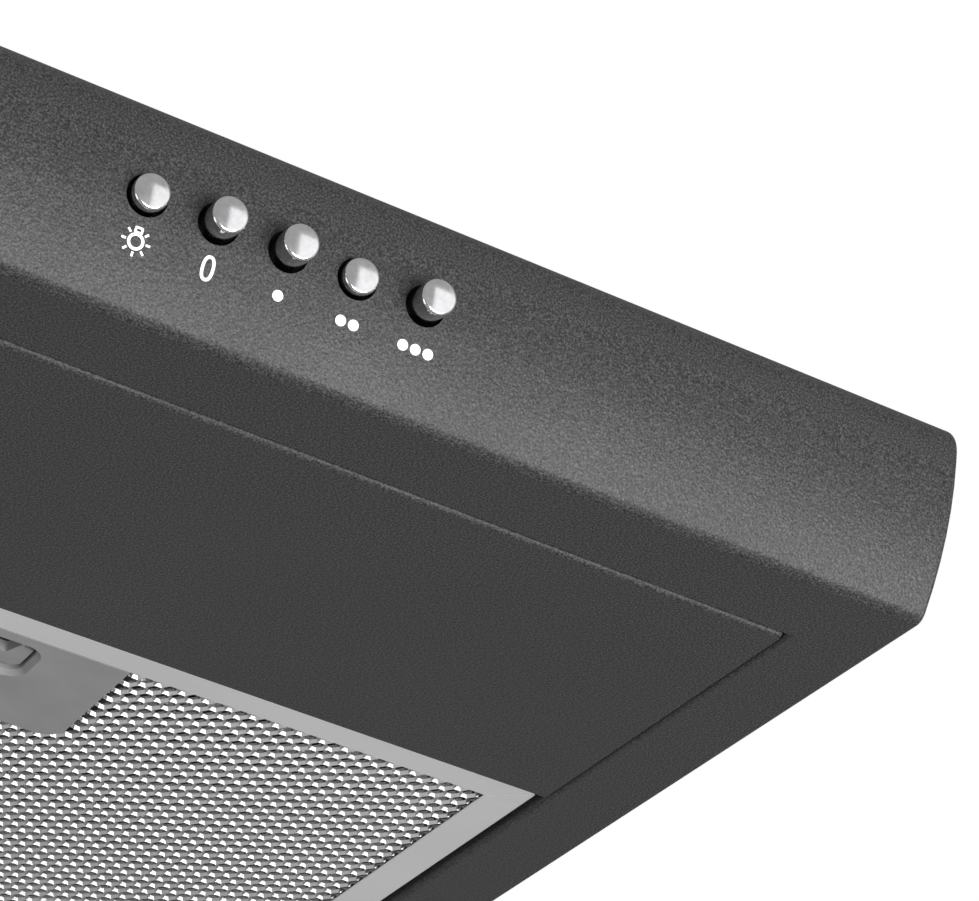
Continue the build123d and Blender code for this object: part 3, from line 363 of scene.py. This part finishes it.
def zigzag_rows(low, high, height, hidden, scale, shift):
    """Centre lines of the strands of one sheet, cut wherever a place is hidden."""
    row_pitch, long_pitch = MESH_ROW_PITCH * scale, MESH_LONG_PITCH * scale
    bond = BOND_SHARE * long_pitch
    half = long_pitch / 2 - bond
    corners = ((0, 1), (bond, 1), (bond + half, -1), (2 * bond + half, -1))
    lines = []
    for row in range(int((high.y - low.y - 2 * MESH_MARGIN) / row_pitch)):
        y = low.y + MESH_MARGIN + (row + 0.5) * row_pitch
        start = low.x + MESH_MARGIN + (0 if (row + shift) % 2 else long_pitch / 2)
        lines.append([])
        for column in range(int((high.x - low.x - 2 * MESH_MARGIN) / long_pitch)):
            for along, way in corners:
                x = start + column * long_pitch + along
                place = Vector((x, y + way * row_pitch / 2, height))
                if hidden(place) or place.x > high.x - MESH_END_MARGIN:
                    lines.append([])
                else:
                    lines[-1].append(place)
    return [line for line in lines if len(line) > 1]


def add_strand(verts, faces, line):
    """Closed bar of four sides along a line of points."""
    first = len(verts)
    for i, place in enumerate(line):
        along = (line[min(i + 1, len(line) - 1)] - line[max(i - 1, 0)]).normalized()
        verts += strand_section(place, along)
    faces.append((first, first + 1, first + 2, first + 3))
    for i in range(len(line) - 1):
        a = first + 4 * i
        for k in range(4):
            faces.append((a + k, a + 4 + k, a + 4 + (k + 1) % 4, a + (k + 1) % 4))
    last = first + 4 * (len(line) - 1)
    faces.append((last + 3, last + 2, last + 1, last))


def build_mesh_layer(name, body, node, heights, hidden, scale):
    """Expanded mesh as zigzag strands that meet the next row's, one sheet at each height."""
    low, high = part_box(node)
    verts, faces = [], []
    for shift, height in enumerate(heights):
        for line in zigzag_rows(low, high, height, hidden, scale, shift):
            add_strand(verts, faces, line)
    piece = new_piece(name, verts, faces, "mesh_aluminium", body)
    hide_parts(node)


def build_filter_meshes():
    for side in ("left", "right"):
        body = f"filter_{side}"
        plate_low, plate_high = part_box(f"{side}_latch_plate")

        def under_latch(place):
            within = plate_low.x - LATCH_CLEARANCE < place.x < plate_high.x + LATCH_CLEARANCE
            return within and place.y < plate_high.y + LATCH_CLEARANCE

        node = f"{side}_filter_lower_mesh"
        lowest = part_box(node)[0].z + LOWER_SHEET_RISE
        heights = (lowest, lowest + LAYER_RISE)
        build_mesh_layer(f"{side}_lower_mesh_strands", body, node, heights, under_latch, 1)
        node = f"{side}_filter_upper_mesh"
        heights = (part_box(node)[1].z - UPPER_SHEET_DROP,)
        build_mesh_layer(
            f"{side}_upper_mesh_strands", body, node, heights,
            lambda place: False, UPPER_SHEET_SCALE,
        )


# ---------------------------------------------------------------- painted shade in the latch finger holes

# A black sheet that stands in for the shade inside each latch finger hole is painted shade. These
# are its size and place.
SHADE_SHEET_HALF = 11 * MM
SHADE_SHEET_THICKNESS = 0.25 * MM
SHADE_SHEET_CORNER = 3 * MM
SHADE_SHEET_RISE = 0.5 * MM
SHADE_SHEET_FRONT = 15.4 * MM
SHADE_SHEET_REAR = 6.4 * MM
SHADE_SHEET_CORNER_STEPS = 6


def build_latch_hole_shade_sheets():
    """Thin black sheets in the latch trays above the finger holes: painted shade that darkens the
    holes.
    """
    for side in ("left", "right"):
        low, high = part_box(f"{side}_latch_plate")
        slide_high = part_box(f"{side}_latch_slide")[1]
        middle_x = (low.x + high.x) / 2
        top = slide_high.z + SHADE_SHEET_RISE
        front, rear = slide_high.y - SHADE_SHEET_FRONT, slide_high.y - SHADE_SHEET_REAR
        outline = []
        for sx, sy, start in ((1, 1, 0), (-1, 1, 90), (-1, -1, 180), (1, -1, 270)):
            cx = middle_x + sx * (SHADE_SHEET_HALF - SHADE_SHEET_CORNER)
            cy = (front + rear) / 2 + sy * ((rear - front) / 2 - SHADE_SHEET_CORNER)
            for step in range(SHADE_SHEET_CORNER_STEPS + 1):
                angle = math.radians(start + 90 / SHADE_SHEET_CORNER_STEPS * step)
                dx, dy = SHADE_SHEET_CORNER * math.cos(angle), SHADE_SHEET_CORNER * math.sin(angle)
                outline.append((cx + dx, cy + dy))
        count = len(outline)
        verts = [Vector((x, y, z)) for z in (top - SHADE_SHEET_THICKNESS, top) for x, y in outline]
        faces = [tuple(reversed(range(count))), tuple(range(count, 2 * count))]
        for k in range(count):
            n = (k + 1) % count
            faces.append((k, n, count + n, count + k))
        # The black rubber finish here is painted shade inside the finger hole.
        new_piece(f"{side}_latch_hole_shade_sheet", verts, faces, "grommet_rubber", f"filter_{side}")


# ---------------------------------------------------------------- push buttons

CAP_RADIUS = 5.0 * MM
CAP_BEVEL = 0.85 * MM
CAP_BEVEL_STEPS = 7
CAP_CROWN = 0.3 * MM
CAP_CROWN_STEPS = 6
CAP_SEGMENTS = 64
# The back of a cap: how far each ring lies in front of it and inside the cap's side
CAP_BACK = [(0.3 * MM, 1.0 * MM), (0.02 * MM, 0.5 * MM), (0.3 * MM, 0)]
CAP_CENTRE_SINK = 0.005 * MM
BUTTON_LEAN = math.asin(BUTTON_DROP / NOSE_RADIUS)


def cap_profile(rear, front):
    """(reach, radius) pairs of a cap, from its hollow back to its crowned face."""
    profile = [(rear + reach, CAP_RADIUS - inset) for reach, inset in CAP_BACK]
    shoulder = front - CAP_CROWN
    face_radius = CAP_RADIUS - CAP_BEVEL
    for i in range(CAP_BEVEL_STEPS + 1):
        turn = math.pi / 2 * i / CAP_BEVEL_STEPS
        reach = shoulder - CAP_BEVEL + CAP_BEVEL * math.sin(turn)
        profile.append((reach, face_radius + CAP_BEVEL * math.cos(turn)))
    for i in range(1, CAP_CROWN_STEPS):
        r = face_radius * (1 - i / CAP_CROWN_STEPS)
        profile.append((shoulder + CAP_CROWN * (1 - (r / face_radius) ** 2), r))
    return profile


def build_caps():
    """Chromed caps: straight side, rounded shoulder and a slightly crowned face."""
    out = Vector((0, -math.cos(BUTTON_LEAN), -math.sin(BUTTON_LEAN)))
    side_x = Vector((1, 0, 0))
    side_up = out.cross(side_x)
    for name in ("light", "off", "low", "medium", "high"):
        node = f"{name}_button_cap"
        along = [v.co.dot(out) for v in nodes[node].data.vertices]
        front, rear = max(along), min(along)
        low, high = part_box(node)
        middle = (low + high) / 2
        axis_point = middle - out * middle.dot(out)
        profile = cap_profile(rear, front)
        verts, faces = [], []
        for reach, radius in profile:
            for k in range(CAP_SEGMENTS):
                angle = 2 * math.pi * k / CAP_SEGMENTS
                spoke = side_x * math.cos(angle) + side_up * math.sin(angle)
                verts.append(axis_point + out * reach + spoke * radius)
        for ring in range(len(profile) - 1):
            for k in range(CAP_SEGMENTS):
                a = ring * CAP_SEGMENTS + k
                b = ring * CAP_SEGMENTS + (k + 1) % CAP_SEGMENTS
                faces.append((a, b, b + CAP_SEGMENTS, a + CAP_SEGMENTS))
        last = (len(profile) - 1) * CAP_SEGMENTS
        tip, base = len(verts), len(verts) + 1
        verts.append(axis_point + out * (front - CAP_CENTRE_SINK))
        verts.append(axis_point + out * profile[0][0])
        for k in range(CAP_SEGMENTS):
            faces.append((last + k, last + (k + 1) % CAP_SEGMENTS, tip))
        for k in range(CAP_SEGMENTS):
            faces.append(((k + 1) % CAP_SEGMENTS, k, base))
        body = f"{name}_button"
        piece = new_piece(f"{name}_chrome_cap", verts, faces, "chrome_cap", body, smooth=True)
        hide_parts(node)


# ---------------------------------------------------------------- printed marks, in millimetres

MARK_HEIGHT = 17.6
MARK_PROUD = 0.07
MARK_SUNK = 0.05
RING_SEGMENTS = 40

OFF_X = 149.4
OFF_INNER = (1.0, 2.6)
OFF_OUTER = (1.85, 3.45)
OFF_SQUARENESS = 2.4

DOTS = {"low": [169.3], "medium": [187.45, 191.15], "high": [205.6, 209.3, 213.0]}
DOT_RADIUS = 1.5
DOT_SEGMENTS = 36

LAMP_X, LAMP_UP = 129.35, -0.35
LAMP_INNER, LAMP_OUTER = (1.5, 1.5), (2.3, 2.3)
LAMP_RAYS = 7
RAY_START, RAY_END, RAY_WIDTH = 2.75, 4.0, 0.6
LAMP_BASE_RISE = 3.05
LAMP_BASE_INNER, LAMP_BASE_OUTER = (0.6, 0.35), (1.2, 0.95)
LAMP_BASE_SQUARENESS = 5
BAR_POINTS = 5


def frame_point(x, depth, height):
    """A point given in millimetres from the hood's middle, front and base, in the frame."""
    return Vector((x * MM, FRONT_Y + depth * MM, BASE_Z + height * MM))


def on_nose(x, up, proud):
    """Point at an arc distance up from the marks' height, standing proud of the curved nose."""
    turn = math.asin((NOSE_CENTRE_HEIGHT - MARK_HEIGHT) / NOSE_RADIUS) - up / NOSE_RADIUS
    reach = NOSE_RADIUS + proud
    depth = NOSE_RADIUS - reach * math.cos(turn)
    return frame_point(x, depth, NOSE_CENTRE_HEIGHT - reach * math.sin(turn))


def add_strip(verts, faces, inner, outer, closed):
    """Thin closed slab between two rows of (x, up) points, on the nose."""
    count = len(inner)
    first = len(verts)
    rows = (inner, MARK_PROUD), (outer, MARK_PROUD), (outer, -MARK_SUNK), (inner, -MARK_SUNK)
    for row, proud in rows:
        verts += [on_nose(x, up, proud) for x, up in row]
    for i in range(count if closed else count - 1):
        j = (i + 1) % count
        for a, b in ((0, 1), (1, 2), (2, 3), (3, 0)):
            near, far = first + a * count, first + b * count
            faces.append((near + i, far + i, far + j, near + j))
    if not closed:
        faces.append(tuple(first + a * count for a in (3, 2, 1, 0)))
        faces.append(tuple(first + a * count + count - 1 for a in (0, 1, 2, 3)))


def ring_points(x, up, halves, count=RING_SEGMENTS, power=2):
    """Points round a superellipse of two half sizes."""
    points = []
    for k in range(count):
        c, s = math.cos(2 * math.pi * k / count), math.sin(2 * math.pi * k / count)
        px = math.copysign(abs(c) ** (2 / power), c)
        py = math.copysign(abs(s) ** (2 / power), s)
        points.append((x + halves[0] * px, up + halves[1] * py))
    return points


def add_ring(verts, faces, x, up, inner, outer, power=2):
    """Flat ring between two superellipses."""
    inside = ring_points(x, up, inner, power=power)
    add_strip(verts, faces, inside, ring_points(x, up, outer, power=power), True)


def add_dot(verts, faces, x):
    """Round dot, as a slab between its upper and lower halves."""
    rim = ring_points(x, 0, (DOT_RADIUS, DOT_RADIUS), DOT_SEGMENTS)
    half = DOT_SEGMENTS // 2
    add_strip(verts, faces, rim[1:half], rim[:half:-1], False)


def add_bar(verts, faces, start, end, width):
    """Straight bar between two (x, up) points."""
    dx, dy = end[0] - start[0], end[1] - start[1]
    length = math.hypot(dx, dy)
    nx, ny = -dy / length * width / 2, dx / length * width / 2
    shares = [i / (BAR_POINTS - 1) for i in range(BAR_POINTS)]
    line = [(start[0] + dx * share, start[1] + dy * share) for share in shares]
    left = [(x + nx, y + ny) for x, y in line]
    right = [(x - nx, y - ny) for x, y in line]
    add_strip(verts, faces, left, right, False)


def print_mark(name, draw):
    """One printed mark on the hood, drawn by a function that adds to its points and faces."""
    verts, faces = [], []
    draw(verts, faces)
    new_piece(name, verts, faces, "white_plastic", "hood")


def draw_off(verts, faces):
    """An upright oval."""
    add_ring(verts, faces, OFF_X, 0, OFF_INNER, OFF_OUTER, OFF_SQUARENESS)


def draw_lamp(verts, faces):
    """A ring with seven rays and a base."""
    add_ring(verts, faces, LAMP_X, LAMP_UP, LAMP_INNER, LAMP_OUTER)
    for k in range(LAMP_RAYS):
        angle = math.radians(90 + 45 * (k + 1))
        c, s = math.cos(angle), math.sin(angle)
        start = (LAMP_X + RAY_START * c, LAMP_UP + RAY_START * s)
        end = (LAMP_X + RAY_END * c, LAMP_UP + RAY_END * s)
        add_bar(verts, faces, start, end, RAY_WIDTH)
    base_up = LAMP_UP + LAMP_BASE_RISE
    halves = LAMP_BASE_INNER, LAMP_BASE_OUTER
    add_ring(verts, faces, LAMP_X, base_up, *halves, LAMP_BASE_SQUARENESS)


def build_marks():
    print_mark("printed_off_mark", draw_off)
    for name, places in DOTS.items():

        def draw_dots(verts, faces):
            for place in places:
                add_dot(verts, faces, place)

        print_mark(f"printed_{name}_dots", draw_dots)
    print_mark("printed_lamp_mark", draw_lamp)


# ---------------------------------------------------------------- floor and build

def add_floor():
    mesh = bpy.data.meshes.new("floor")
    ways = (-1, -1), (1, -1), (1, 1), (-1, 1)
    corners = [(x * FLOOR_HALF, y * FLOOR_HALF, FLOOR_Z) for x, y in ways]
    mesh.from_pydata(corners, [], [(0, 1, 2, 3)])
    floor = bpy.data.objects.new("floor", mesh)
    bpy.context.scene.collection.objects.link(floor)
    material, tree, shader = new_material("floor_paint")
    tone = noise(tree, object_coordinates(tree), 3)
    vary(tree, shader, "Base Color", tone, [(0.3, 0.70), (0.7, 0.74)])
    shader.inputs["Roughness"].default_value = 0.8
    mesh.materials.append(material)


bpy.context.scene.view_settings.view_transform = "Standard"
materials = make_materials()
dress_cad_nodes()
add_camera()
add_world()
for light in LIGHTS:
    add_area_light(*light)
add_floor()
build_filter_meshes()
build_latch_hole_shade_sheets()
build_caps()
build_marks()
